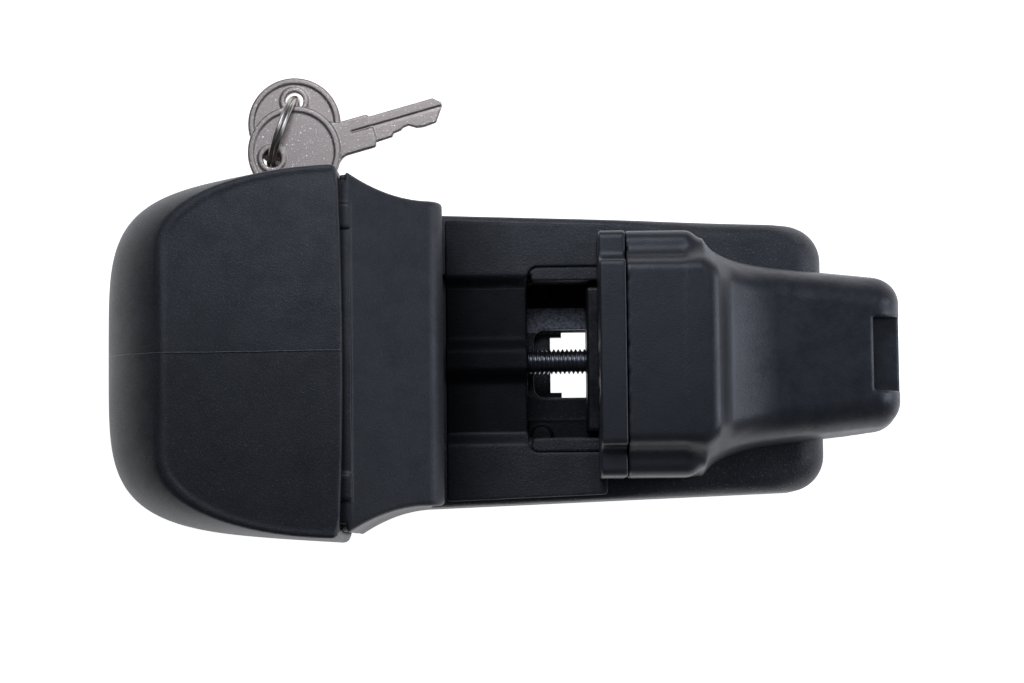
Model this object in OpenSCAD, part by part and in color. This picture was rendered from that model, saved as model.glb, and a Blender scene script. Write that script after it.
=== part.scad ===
// Keyed screw clamp lock: a fixed jaw and a sliding jaw over a flat base, drawn together by one
// long screw whose head sits under a lockable end cap.
// Frame: X runs along the clamp screw from the end cap (-X) to the jaw's tongue (+X), Z is up,
// and the origin is the middle of the base's back face, below the seam between the jaws.

/* [Base] */
// Height of the base housing's top face
base_h = 21; // [20:0.5:23]
// X of the base's rounded far end
base_end = 72.6; // [70:0.2:76]
// Width of the base where it leaves the fixed jaw
base_w = 67; // [64:0.5:68]
// Width of the base near its far end
base_far_w = 61.2; // [58:0.2:64]
// Plan radius of the far corners
base_corner = 8; // [7:0.5:14]
// Half width of the window that the slider runs in
window_half = 17.9; // [17.4:0.1:18.4]
// X of the window's end nearest the fixed jaw
window_x = 4.8; // [4:0.1:5]

/* [Fixed jaw] */
// X of the fixed jaw's back, where the end cap meets it
head_x = -34.5; // [-35:0.1:-34.5]
// X of the fixed jaw's rolled lip
lip_x = -13.8; // [-14:0.1:-13.4]
// Height of the jaw at its back
head_h = 53; // [50:0.5:54]
// Height of the jaw at its lip
lip_h = 46; // [44:0.5:48]
// Extra half width of the flare at the back
flare = 5.9; // [4:0.1:6.5]

/* [Moving jaw] */
// X of the jaw pad's gripping face
grip_x = 20.8; // [20:0.1:21.5]
// Thickness of the jaw pad
jaw_pad_t = 5.9; // [5:0.1:6.5]
// Half width of the jaw's raised middle
jaw_mid_half = 20.6; // [19:0.1:22]
// Half width of the jaw's side flanges
jaw_side_half = 27.4; // [26:0.1:29]
// Height of the raised middle
jaw_h = 44; // [42:0.5:46]
// Height of the side flanges
jaw_side_h = 39.5; // [37:0.5:41]
// Height of the tongue
tongue_h = 36; // [34:0.5:38]
// X of the tongue's end
tongue_end = 88.3; // [85:0.1:92]

/* [Clamp screw] */
// Outer diameter of the thread, M6
screw_d = 5.9; // [5.8:0.05:5.95]
// Length under the head
screw_len = 100; // [98:0.5:102]
// Height of the screw's axis
screw_z = 13; // [12.8:0.1:13.4]

/* [End cap] */
// X of the cap's open edge
cap_x = -36.3; // [-37:0.1:-36.2]
// Height of the cap's flat face
cap_h = 57; // [56.5:0.5:60]
// Wall thickness of the cap
cap_wall = 2.8; // [2.4:0.1:3]

/* [Lock and keys] */
// X of the lock's axis
lock_x = -47.4; // [-48:0.1:-47]
// Height of the lock's axis
lock_z = 28; // [27.5:0.1:28.5]
// Diameter of the lock's barrel
barrel_d = 16; // [15.5:0.1:16]
// Diameter of the turning plug
plug_d = 11; // [10.8:0.1:11]
// Diameter of a key's round bow
bow_d = 21; // [20:0.1:21]
// Thickness of a key
key_t = 2; // [1.8:0.1:2]

/* [Hidden] */

$fn = 48;
eps = 0.01;
gap = 0.2;
plastic = "#24262b";
rubber = "#1c1e22";
steel = "#8f9296";
dark_steel = "#3a3c40";
nickel = "#c4c2c0";
brass = "#b59a55";

// base
flare_end = -17;
base_far_x = base_end - base_corner;
deck_t = 1;
deck_z = base_h + deck_t;
channel_half = 19.4;
channel_z = 18;
window_len = 51.2;
floor_z = 7;
slot_half = 7.9;
cover_t = 2.4;
cover_box = [[2, -20], [58, 20]];
cover_screw_xy = [for (x = [8, 52], y = [-16.8, 16.8]) [x, y]];
rim_half = 21.2;
pad_end = 22.8;
bore_d = 6.6;
jaw_bolt_x = -27;
jaw_bolt_y = [-24, 24];
collar_len = 5.5;
collar_in = 33.5;
collar_z = 50.4;
collar_d = cap_wall + 0.4;

// head of the clamp screw and its boss
boss_x = -62;
boss_half = 11.5;
boss_h = 22;
seat_x = -47.5;
thrust_t = 2.5;
washer_t = 1.6;
head_d = 10;
head_t = 6;
seat_d = 15;
under_head = seat_x - thrust_t - washer_t;

// moving jaw
jaw_z = deck_z + 0.3;
jaw_x = grip_x + jaw_pad_t + 0.1;
peg_y = [-12, 12];
peg_z = 32;
slider_x = 18.4;
slider_len = 24.6;
slider_half = 16.5;
nut_x = 20.7;
nut_len = 7.6;
nut_w = 10;
jaw_screw_xy = [for (x = [31, 38], y = [-5.3, 5.3]) [x, y]];
plate_z = 2.9;
plate_t = 1.8;
notch_x = 81.8;
notch_half = 8.3;
notch_y = -0.5;
notch_z = 30;

// end cap: the flat face's outline and the widest outline, both about [cap_x, 0]
face_a = 38.1;
face_b = 18.3;
face_flat = 22;
belly_a = 51.8;
belly_b = 41.5;
belly_n = 3.35;
belly_z = 35;
belly_low = 12;
foot_z = 1;
foot_inset = 4;
slab = 0.4;
pocket_r = 10.4;
pocket_top = 36;
pocket_y = 33.7;
boss_r = 11;
boss_end = 39.5;

// lock
flange_y = 35.2;
barrel_y = 15.5;
cam_y = 12.2;
cam_t = 2;
cam_reach = 9.5;
cam_half = 3.5;
wafer_y = [31, 28.2, 25.4, 22.6];
strike_z = 38.9;
strike_x = -54;
strike_y = [8.2, 15.2];

// keys, drawn with the bow's centre at the origin and the blade along +X
hole_r = 2.05;
hole_at = -5.2;
neck_end = 18.3;
neck_w = 7.7;
blade_end = 33.3;
blade_w = 6.2;
bow_y = 53.6;
spare_at = [-47.2, 46.7, 31.2];
spare_turn = 15.6;
ring_at = [-49.94, 51.68, 27.5];
ring_turn = 70.4;
ring_r = 8.6;
wire_w = 1.0;
wire_t = 0.8;

// A half outline closed by its mirror image: in Y for a plan, in Y again for a section's [y, z]
function mirror_plan(pts) = concat(pts, [for (i = [len(pts) - 1:-1:0]) [pts[i][0], -pts[i][1]]]);
function mirror_section(pts) = concat(pts, [for (i = [len(pts) - 1:-1:0]) [-pts[i][0], pts[i][1]]]);
function arc(cx, cy, r, from, to, n) =
    [for (i = [0:n]) let (a = from + (to - from) * i / n) [cx + r * cos(a), cy + r * sin(a)]];
function flare_y(x) = base_w / 2 + flare * pow(max(0, flare_end - x) / (flare_end - head_x), 2);

// Half outline of the base from the fixed jaw's back round the far end
base_edge = concat(
    [for (i = [0:8]) let (x = head_x + (flare_end - head_x) * i / 8) [x, flare_y(x)]],
    arc(base_far_x, base_far_w / 2 - base_corner, base_corner, 90, 0, 10));

// Distance from the middle of the cap's open edge to its flat face's outline, at angle a
function face_r(a) =
    let (c = cos(a), s = abs(sin(a)),
        p = pow(c / face_a, 2) + pow(s / face_b, 2),
        q = -2 * face_flat * s / pow(face_b, 2),
        k = pow(face_flat / face_b, 2) - 1)
    face_a * s <= face_flat * c ? face_a / c : (-q + sqrt(q * q - 4 * p * k)) / (2 * p);
// The same to its widest outline
function belly_r(a) =
    pow(pow(cos(a) / belly_a, belly_n) + pow(abs(sin(a)) / belly_b, belly_n), -1 / belly_n);
function cap_z(t) = cap_h - (cap_h - belly_z) * (1 - cos(90 * t));
function cap_half(t) = face_r(90) + (belly_r(90) - face_r(90)) * sin(90 * t);
// Outline at level t, from 0 at the flat face to 1 at the widest, moved in by d and out to open_x
function cap_ring(t, d, open_x) = concat([[open_x, d - cap_half(t)]],
    [for (a = [-90:5:90]) let (r = face_r(a) + (belly_r(a) - face_r(a)) * sin(90 * t) - d)
        [cap_x - r * cos(a), r * sin(a)]],
    [[open_x, cap_half(t) - d]]);

// The base's plan outline
module base_plan() {
    polygon(mirror_plan(base_edge));
}

// A block between two corners
module block(a, b) {
    translate(a) cube(b - a);
}

// A profile drawn in X and Z, extruded to both sides of Y = 0
module side_profile(half) {
    rotate([90, 0, 0]) linear_extrude(2 * half, center = true) children();
}

// A cylinder along X from x0 to x1
module rod_x(x0, x1, d, y = 0, z = screw_z) {
    translate([x0, y, z]) rotate([0, 90, 0]) cylinder(h = x1 - x0, d = d);
}

// A cylinder along Y at the lock's axis from y0 to y1
module rod_y(y0, y1, d) {
    translate([lock_x, y0, lock_z]) rotate([-90, 0, 0]) cylinder(h = y1 - y0, d = d);
}

// The tall round-ended form of the key's pocket, from y0 to y1
module pocket(y0, y1, r) {
    translate([lock_x, y0, lock_z]) rotate([-90, 0, 0]) linear_extrude(y1 - y0)
        polygon(concat(arc(0, 0, r, 0, 180, 16), arc(0, lock_z - pocket_top, r, 180, 360, 16)));
}

// Plan of a rounded rectangle from x0 to x1, half wide each side of Y = 0
module round_plan(x0, x1, half, r) {
    translate([x0 + r, -half + r]) offset(r) square([x1 - x0 - 2 * r, 2 * (half - r)]);
}

// A countersunk screw standing along +Z with its head's face at z = 0
module flat_screw(d, len) {
    cylinder(h = 0.5 * d, d1 = 1.9 * d, d2 = d);
    cylinder(h = len, d = d);
}

// The form that the cap's outside and inside share, d inside the outer surface
module cap_form(d, open_x) {
    hull() {
        for (t = [0:0.2:1])
            translate([0, 0, cap_z(t) - d - slab]) linear_extrude(slab) polygon(cap_ring(t, d, open_x));
        translate([0, 0, belly_low]) linear_extrude(slab) polygon(cap_ring(1, d, open_x));
        translate([0, 0, foot_z + d]) linear_extrude(slab) polygon(cap_ring(1, foot_inset + d, open_x));
    }
}

module base_housing() {
    color(plastic) difference() {
        union() {
            intersection() {
                linear_extrude(base_h) base_plan();
                side_profile(60) polygon(concat([[head_x, 0], [head_x, base_h]],
                    arc(base_end - 7, base_h - 7, 7, 90, 0, 8), [[base_end, 2], [base_end - 2, 0]]));
            }
            translate([0, 0, base_h - 1]) linear_extrude(1.8)
                round_plan(window_x + 0.3, pad_end - 0.2, rim_half, 2.5);
            block([boss_x, -boss_half, 4], [head_x + eps, boss_half, boss_h]);
            block([boss_x + 4, -33, 4.2], [head_x + eps, 33, 6.7]);
        }
        rod_x(boss_x - 1, window_x + 1, bore_d);
        rod_x(boss_x - 1, seat_x - thrust_t, seat_d);
        block([seat_x - thrust_t, -8.2, 4.8], [seat_x, 8.2, boss_h + 1]);
        block([seat_x - 1, -5.5, screw_z - 5.5], [seat_x + 1.2, 5.5, boss_h + 1]);
        translate([0, 0, floor_z]) linear_extrude(base_h)
            round_plan(window_x, window_x + window_len, window_half, 1.5);
        translate([0, 0, cover_t]) linear_extrude(base_h) round_plan(6.4, 52, slot_half, 2.5);
        block([6, -13.5, cover_t - 1], [54, 13.5, 5]);
        block(concat(cover_box[0], -1), concat(cover_box[1], cover_t + 0.1));
        block([lip_x - 4, -channel_half - 0.1, channel_z], [window_x + 1, channel_half + 0.1, base_h + 1]);
        for (p = cover_screw_xy) translate([p[0], p[1], 1]) cylinder(h = 5.4, d = 2.6);
        for (y = jaw_bolt_y) translate([jaw_bolt_x, y, -1]) {
            cylinder(h = base_h + 2, d = 5.4);
            cylinder(h = 6, d = 10);
        }
    }
}

module back_cover() {
    color(plastic) difference() {
        block(concat(cover_box[0] + [gap, gap], 0), concat(cover_box[1] - [gap, gap], cover_t));
        block([12.9, -7.7, -1], [47, 7.7, 3]);
        block([10.3, -6.5, -1], [13, 6.5, 3]);
        for (p = cover_screw_xy) translate([p[0], p[1], 0.2]) {
            cylinder(h = 1.6, d1 = 5.7, d2 = 3.1);
            cylinder(h = 3, d = 3.1);
        }
        for (p = cover_screw_xy) translate([p[0], p[1], -1]) cylinder(h = 1.21, d = 5.7);
    }
}

module cover_screws() {
    color(dark_steel) for (p = cover_screw_xy) translate([p[0], p[1], 0.3]) {
        cylinder(h = 1.4, d1 = 5.3, d2 = 2.5);
        cylinder(h = 5.9, d = 2.5);
    }
}

// Rubber mat between the jaws, with a shallow channel and a raised rib over the screw's tunnel
module deck_pad() {
    mat_z = channel_z + 1;
    mat_in = channel_half - 2.2;
    color(rubber) difference() {
        union() {
            intersection() {
                block([lip_x + 0.1, -40, base_h], [pad_end, 40, deck_z]);
                linear_extrude(base_h + 10) offset(delta = -1.2) base_plan();
            }
            block([lip_x + 0.1, -channel_half, channel_z], [window_x, channel_half, base_h + 0.5]);
        }
        translate([0, 0, base_h]) linear_extrude(5)
            round_plan(window_x + 0.2, pad_end + 5, rim_half + 0.1, 2.5);
        translate([lip_x - 1, 0, 0]) rotate([90, 0, 90]) linear_extrude(window_x + 2 - lip_x)
            polygon([[-channel_half, deck_z + eps], [-mat_in, mat_z], [-5, mat_z], [-2.5, base_h + 0.3],
                [2.5, base_h + 0.3], [5, mat_z], [mat_in, mat_z], [channel_half, deck_z + eps]]);
    }
}

// The flared upright that the clamped thing bears on, with a collar that the end cap slides over
module fixed_jaw() {
    color(plastic) difference() {
        union() {
            intersection() {
                linear_extrude(60) base_plan();
                side_profile(60) polygon(concat([[head_x, base_h], [head_x, head_h]],
                    arc(lip_x - 3, lip_h - 3, 3, 75, 0, 5),
                    [[lip_x, 42], [lip_x - 3, 41], [lip_x - 3, base_h]]));
            }
            translate([head_x - collar_len, 0, 0]) rotate([90, 0, 90]) linear_extrude(collar_len + 1)
                polygon(mirror_section(concat(
                    [[collar_in, collar_z], [collar_in, base_h + 1],
                    [cap_half(1) - collar_d, base_h + 1]],
                    [for (t = [1:-0.2:0]) [cap_half(t) - collar_d, cap_z(t) - collar_d]])));
            for (y = [-29.4, 29.4])
                block([head_x - 2.5, y - 2.8, cap_h - 5], [head_x + 1, y + 2.8, cap_h - 3.3]);
        }
        block([-60, -18, 23], [-20.5, 18, 41]);
        block([-60, 20, 0], [head_x, 60, pocket_top + 13]);
        for (y = jaw_bolt_y) translate([jaw_bolt_x, y, base_h - 1]) cylinder(h = 18, d = 4.4);
        for (y = strike_y) translate([jaw_bolt_x, y, strike_z + 1.1]) cylinder(h = 5.5, d = 2.5);
    }
}

module fixed_jaw_pad() {
    color(rubber) difference() {
        block([lip_x - 2.9, -30, deck_z + 0.1], [lip_x - 0.6, 30, 40.9]);
        for (y = [-25:5:25]) translate([lip_x - 0.5, y, 20]) cylinder(h = 25, r = 0.6, $fn = 24);
    }
}

module fixed_jaw_screws() {
    color(dark_steel) for (y = jaw_bolt_y) translate([jaw_bolt_x, y, 1]) difference() {
        union() {
            cylinder(h = 3.9, d = 8.5);
            cylinder(h = 35, d = 4.3);
        }
        translate([0, 0, -1]) cylinder(h = 3.5, d = 4.6, $fn = 6);
    }
}

module thrust_plate() {
    color(steel) difference() {
        block([seat_x - thrust_t, -8, 5], [seat_x - 0.05, 8, boss_h - 1]);
        rod_x(seat_x - 5, seat_x + 5, bore_d);
    }
}

// Steel hook that the cam turns behind to hold the cap on
module strike_plate() {
    color(steel) difference() {
        union() {
            block([-33, 5.5, strike_z], [-21.5, 17.8, strike_z + 2]);
            block([strike_x, 10.5, strike_z], [-32, 15, strike_z + 2]);
            block([strike_x, 10.5, 33], [strike_x + 2, 15, strike_z + 1]);
        }
        for (y = strike_y) translate([jaw_bolt_x, y, strike_z - 1]) cylinder(h = 4, d = 3.2);
    }
}

module strike_screws() {
    color(dark_steel) for (y = strike_y) translate([jaw_bolt_x, y, strike_z - 1.6]) {
        cylinder(h = 1.6, d = 5.5);
        cylinder(h = 7.4, d = 2.4);
    }
}

module clamp_screw() {
    color(dark_steel) difference() {
        union() {
            rod_x(under_head - head_t, under_head, head_d);
            rod_x(under_head, under_head + screw_len, screw_d);
        }
        translate([under_head - head_t - 1, 0, screw_z]) rotate([0, 90, 0]) cylinder(h = 4.2, d = 5.8, $fn = 6);
        translate([seat_x + 0.1, 0, screw_z]) rotate([0, 90, 0]) difference() {
            cylinder(h = 0.9, d = 8);
            translate([0, 0, -1]) cylinder(h = 3, d = 4.6);
        }
    }
}

module screw_washer() {
    color(steel) difference() {
        rod_x(under_head + 0.02, under_head + washer_t, 12.4);
        rod_x(under_head - 1, under_head + 5, 6.3);
    }
}

// Snap ring in the screw's groove, which bears on the thrust plate when the screw opens the jaw
module retaining_clip() {
    color(steel) translate([seat_x + 0.15, 0, screw_z]) rotate([0, 90, 0]) difference() {
        cylinder(h = 0.8, d = 9.5);
        translate([0, 0, -1]) cylinder(h = 3, d = 4.7);
        translate([-6, -1.2, -1]) cube([6, 2.4, 3]);
    }
}

// Half outline of the tongue, from the jaw's block to its rounded end
jaw_edge = [[jaw_x, 25], [40, 25], [43, 24.4], [48.3, 22.2], [57, 19.9], [66, 18.8], [72, 18.1],
    [80, 17.2], [84.3, 16.6], [86.2, 15.9], [87.6, 14.4], [88.3, 12.4]];

// Plan of the tongue, with its end at tongue_end
module tongue_plan() {
    stretch = tongue_end - 88.3;
    polygon(mirror_plan([for (p = jaw_edge) [p[0] + (p[0] > 70 ? stretch : 0), p[1]]]));
}

module moving_jaw() {
    color(plastic) difference() {
        union() {
            intersection() {
                linear_extrude(60) tongue_plan();
                side_profile(40) polygon(concat(
                    [[jaw_x, jaw_z], [jaw_x, tongue_h + 2], [46, jaw_h - 1], [49, jaw_h - 4.5],
                    [53, tongue_h + 1], [58, tongue_h]],
                    arc(tongue_end - 8, tongue_h - 8, 8, 90, 0, 6), [[tongue_end - 1, 25], [76, jaw_z]]));
            }
            translate([0, 0, jaw_z]) linear_extrude(jaw_h - jaw_z) difference() {
                round_plan(jaw_x - 10, 47, jaw_mid_half, 5);
                translate([jaw_x - 20, -30]) square([20, 60]);
            }
            translate([0, 0, jaw_z]) linear_extrude(jaw_side_h - jaw_z) difference() {
                round_plan(jaw_x - 10, 43, jaw_side_half, 3.5);
                translate([jaw_x - 20, -30]) square([20, 60]);
            }
        }
        block([notch_x, notch_y - notch_half, notch_z], [tongue_end + 5, notch_y + notch_half, 60]);
        block([50, -13, jaw_z - 1], [77, 13, 28]);
        for (p = jaw_screw_xy) translate([p[0], p[1], jaw_z - 1]) cylinder(h = 14, d = 3);
        for (y = peg_y) rod_x(jaw_x - 1, jaw_x + 5, 4.2, y, peg_z);
    }
}

// The jaw's gripping face, a plate of the jaw's own section pegged into its front
module jaw_pad() {
    color(rubber) {
        difference() {
            translate([grip_x, 0, 0]) rotate([90, 0, 90]) linear_extrude(jaw_pad_t)
                polygon(mirror_section([[jaw_side_half, jaw_z], [jaw_side_half, jaw_side_h - 1.5],
                    [jaw_side_half - 1.5, jaw_side_h], [jaw_mid_half, jaw_side_h],
                    [jaw_mid_half, jaw_h - 1], [jaw_mid_half - 1, jaw_h]]));
            for (y = [-16:4:16]) translate([grip_x - 0.1, y, 20]) cylinder(h = 30, r = 0.5, $fn = 24);
        }
        for (y = peg_y) rod_x(grip_x + 1, jaw_x + 4, 4, y, peg_z);
    }
}

// Block that runs in the base's window and carries the nut
module jaw_slider() {
    color(dark_steel) difference() {
        union() {
            translate([0, 0, floor_z + 0.2]) linear_extrude(deck_z - floor_z - 0.2)
                round_plan(slider_x, slider_x + slider_len, slider_half, 1.2);
            block([20.6, -7.4, plate_z + plate_t], [40.8, 7.4, floor_z + 1]);
        }
        rod_x(slider_x - 1, slider_x + slider_len + 1, bore_d);
        block([nut_x - 0.1, -nut_w / 2 - 0.1, screw_z - 5.2], [nut_x + nut_len + 0.1, nut_w / 2 + 0.1, 30]);
        for (p = jaw_screw_xy) translate([p[0], p[1], 0]) cylinder(h = 30, d = 3.3);
    }
}

module clamp_nut() {
    color(steel) difference() {
        block([nut_x, -nut_w / 2, screw_z - nut_w / 2], [nut_x + nut_len, nut_w / 2, screw_z + nut_w / 2]);
        rod_x(nut_x - 1, nut_x + nut_len + 1, screw_d + 0.14);
    }
}

// Plate under the window's floor that keeps the slider down
module slider_plate() {
    color(steel) difference() {
        block([20, -12.5, plate_z], [43, 12.5, plate_z + plate_t - 0.05]);
        for (p = jaw_screw_xy) translate([p[0], p[1], plate_z - 0.1]) {
            cylinder(h = 1.7, d1 = 6.3, d2 = 3.3);
            cylinder(h = 5, d = 3.3);
        }
    }
}

module jaw_screws() {
    color(dark_steel) for (p = jaw_screw_xy) translate([p[0], p[1], plate_z + 0.05]) flat_screw(2.9, 31);
}

// Lockable shell over the clamp screw's head
module end_cap() {
    color(plastic) difference() {
        union() {
            difference() {
                cap_form(0, cap_x);
                cap_form(cap_wall, cap_x + 5);
            }
            pocket(pocket_y - 3, boss_end, boss_r);
        }
        pocket(pocket_y, 60, pocket_r);
        rod_y(20, 60, barrel_d + 0.2);
    }
}

module lock_barrel() {
    color(nickel) difference() {
        union() {
            rod_y(barrel_y, pocket_y, barrel_d);
            rod_y(pocket_y, flange_y, 19);
        }
        rod_y(barrel_y - 1, flange_y + 1, plug_d + 0.12);
    }
}

module lock_nut() {
    color(steel) difference() {
        translate([lock_x, 26.8, lock_z]) rotate([-90, 0, 0]) cylinder(h = 3.8, d = 21.5, $fn = 6);
        rod_y(20, 40, barrel_d + 0.1);
    }
}

module lock_plug() {
    color(nickel) difference() {
        union() {
            rod_y(14.4, flange_y - 0.2, plug_d);
            block([lock_x - 2.8, cam_y, lock_z - 2.8], [lock_x + 2.8, 14.5, lock_z + 2.8]);
        }
        block([lock_x - 3.3, 18.4, lock_z - 1.15], [lock_x + 3.3, flange_y + 1, lock_z + 1.15]);
        for (y = wafer_y) block([lock_x - 6, y - 0.55, lock_z - 2.6], [lock_x + 6, y + 0.55, lock_z + 2.6]);
        rod_y(cam_y - 1, 18, 3.2);
    }
}

// Thin sliding tumblers, each with a window that the key's blade passes through
module lock_wafers() {
    color(brass) for (y = wafer_y) difference() {
        block([lock_x - 4.8, y - 0.45, lock_z - 2.5], [lock_x + 4.8, y + 0.45, lock_z + 2.5]);
        block([lock_x - 3.4, y - 1, lock_z - 1.3], [lock_x + 3.4, y + 1, lock_z + 1.3]);
    }
}

module lock_cam() {
    color(steel) difference() {
        union() {
            rod_y(cam_y, cam_y + cam_t, 11);
            block([lock_x, cam_y, lock_z - cam_half], [lock_x + cam_reach, cam_y + cam_t, lock_z + cam_half]);
        }
        block([lock_x - 2.9, cam_y - 1, lock_z - 2.9], [lock_x + 2.9, cam_y + 5, lock_z + 2.9]);
    }
}

module cam_screw() {
    color(steel) {
        rod_y(cam_y - 2.4, cam_y - 0.02, 8);
        rod_y(cam_y - 1, 17.5, 3.1);
    }
}

// A flat key: round bow with a raised rim, neck, and a blade with its cuts along one edge
module flat_key() {
    half = key_t / 2;
    cuts = [[22.3, -2.8], [22.8, -2.1], [24.6, -1.9], [25, -1.5], [26.4, -1.3], [28.1, -2.4],
        [29.7, -2.6], [31, -2.4]];
    color(nickel) difference() {
        union() {
            translate([0, 0, -half]) cylinder(h = key_t, d = bow_d, $fn = 64);
            difference() {
                translate([0, 0, -half - 0.25]) cylinder(h = key_t + 0.5, d = bow_d, $fn = 64);
                translate([0, 0, -half - 1]) cylinder(h = key_t + 2, d = bow_d - 2, $fn = 64);
            }
            block([8, -neck_w / 2, -half], [neck_end, neck_w / 2, half]);
            translate([0, 0, -half + 0.05]) linear_extrude(key_t - 0.1) polygon(concat(
                [[neck_end - 1, blade_w / 2], [neck_end - 1, -2.9]], cuts,
                [[blade_end, 0.8], [blade_end, blade_w / 2 - 1.5], [blade_end - 1.7, blade_w / 2]]));
        }
        translate([hole_at, 0, -5]) cylinder(h = 10, r = hole_r);
        for (s = [-1, 1]) translate([15, 0.4 - 0.6, s * half - 0.45]) cube([25, 1.2, 0.9]);
    }
}

module inserted_key() {
    translate([lock_x, bow_y, lock_z]) rotate([0, 0, -90]) flat_key();
}

module spare_key() {
    translate(spare_at) rotate([0, 0, spare_turn]) flat_key();
}

// Split ring of two turns side by side, drawn as one ring with a groove between the turns
module key_ring() {
    half_turn = [[0.3, 0], [wire_t / 2, 0.2], [wire_t / 2, 0.75], [wire_t / 4, wire_w]];
    side = concat(half_turn, [for (i = [3:-1:0]) [-half_turn[i][0], half_turn[i][1]]]);
    color(nickel) translate(ring_at) rotate([90, 0, ring_turn]) rotate_extrude($fn = 64)
        translate([ring_r, 0]) polygon(concat(side, [for (i = [6:-1:1]) [side[i][0], -side[i][1]]]));
}

base_housing();
back_cover();
cover_screws();
deck_pad();
fixed_jaw();
fixed_jaw_pad();
fixed_jaw_screws();
thrust_plate();
strike_plate();
strike_screws();
clamp_screw();
screw_washer();
retaining_clip();
moving_jaw();
jaw_pad();
jaw_slider();
clamp_nut();
slider_plate();
jaw_screws();
end_cap();
lock_barrel();
lock_nut();
lock_plug();
lock_wafers();
lock_cam();
cam_screw();
inserted_key();
key_ring();
spare_key();
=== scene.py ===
"""Keyed screw clamp lock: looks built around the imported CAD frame."""

import math

import bpy
import numpy as np
from mathutils import Matrix, Vector


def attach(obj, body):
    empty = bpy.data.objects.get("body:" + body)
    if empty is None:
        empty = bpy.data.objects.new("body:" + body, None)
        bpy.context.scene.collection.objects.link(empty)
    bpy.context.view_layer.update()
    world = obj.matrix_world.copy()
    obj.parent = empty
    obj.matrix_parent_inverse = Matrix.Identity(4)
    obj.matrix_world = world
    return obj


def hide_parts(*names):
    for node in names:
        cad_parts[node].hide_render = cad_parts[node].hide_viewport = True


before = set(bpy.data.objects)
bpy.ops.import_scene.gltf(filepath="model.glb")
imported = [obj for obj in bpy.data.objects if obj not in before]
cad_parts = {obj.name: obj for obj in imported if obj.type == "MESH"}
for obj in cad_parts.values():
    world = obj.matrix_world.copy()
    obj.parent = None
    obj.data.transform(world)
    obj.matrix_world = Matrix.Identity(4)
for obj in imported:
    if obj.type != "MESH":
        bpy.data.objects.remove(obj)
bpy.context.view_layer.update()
MM = 0.001

# ---------------------------------------------------------------- sizes, in mm, as in the CAD
HEAD_X, LIP_X, LIP_H, HEAD_H = -34.5, -13.8, 46.0, 53.0
BASE_H, BASE_END, BASE_HALF, BASE_FAR_HALF, BASE_CORNER = 21.0, 72.6, 33.5, 30.6, 8.0
FLARE, FLARE_END = 5.9, -17.0
WINDOW_X, WINDOW_LEN, WINDOW_HALF, FLOOR_Z, SLOT_HALF = 4.8, 51.2, 17.9, 7.0, 7.9
DECK_Z, PAD_END, RIM_HALF, CHANNEL_HALF, CHANNEL_Z = 22.0, 22.8, 21.2, 19.4, 18.0
CAP_X, CAP_H, CAP_WALL = -36.3, 57.0, 2.8
FACE_A, FACE_B, FACE_FLAT = 38.1, 18.3, 22.0
BELLY_A, BELLY_B, BELLY_N, BELLY_Z, BELLY_LOW = 52.0, 41.2, 4.5, 35.0, 12.0
BELLY_TAPER, SHOULDER, FACE_SUNK = 0.07, math.radians(22), 0.22
FOOT_Z, FOOT_INSET = 1.0, 4.0
LOCK_X, LOCK_Z, POCKET_R, POCKET_Y, POCKET_TOP = -47.4, 28.0, 10.4, 33.7, 36.0
BOSS_R, BOSS_END, BARREL_R = 11.0, 39.5, 8.1
GRIP_X, JAW_PAD_T, MID_HALF, SIDE_HALF = 20.8, 5.9, 20.6, 27.4
JAW_H, SIDE_H, TONGUE_H, TONGUE_END, JAW_Z = 44.0, 39.5, 36.0, 88.3, 22.3
JAW_X = GRIP_X + JAW_PAD_T + 0.1
SCREW_Z, SCREW_R, PITCH = 13.0, 2.95, 1.0
BOW_R, HOLE_AT, HOLE_R, KEY_T = 10.5, -5.2, 2.05, 2.0


# ---------------------------------------------------------------- solids from distance functions
def both(a, b, r=0.0):
    """What is inside both forms, with the edge between them rounded to radius r."""
    if np.isscalar(r) and r == 0:
        return np.maximum(a, b)
    return np.minimum(np.maximum(a, b), -r) + np.hypot(np.maximum(a + r, 0), np.maximum(b + r, 0))


def either(a, b, r=0.0):
    """What is inside one form or the other, with the corner between them filled to radius r."""
    return -both(-a, -b, r)


def cut(a, b, r=0.0):
    """Form a without form b, with the new edge rounded to radius r."""
    return both(a, -b, r)


def span(v, low, high):
    """Between two planes."""
    return np.maximum(low - v, v - high)


def block(x, y, z, low, high, r=0.0):
    """A box between two corners, with its edges rounded to radius r."""
    plan = both(span(x, low[0], high[0]), span(y, low[1], high[1]), r)
    return both(plan, span(z, low[2], high[2]), r)


def smooth_step(v, low, high):
    t = np.clip((v - low) / (high - low), 0, 1)
    return t * t * (3 - 2 * t)


def edge_cells(value, axis):
    """Crossings of the zero surface along one axis: the edges' indices, where they cross, and their sign."""
    a = np.take(value, range(value.shape[axis] - 1), axis)
    b = np.take(value, range(1, value.shape[axis]), axis)
    at = np.argwhere((a < 0) != (b < 0))
    va, vb = a[tuple(at.T)], b[tuple(at.T)]
    return at, va / (va - vb), va < 0


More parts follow.
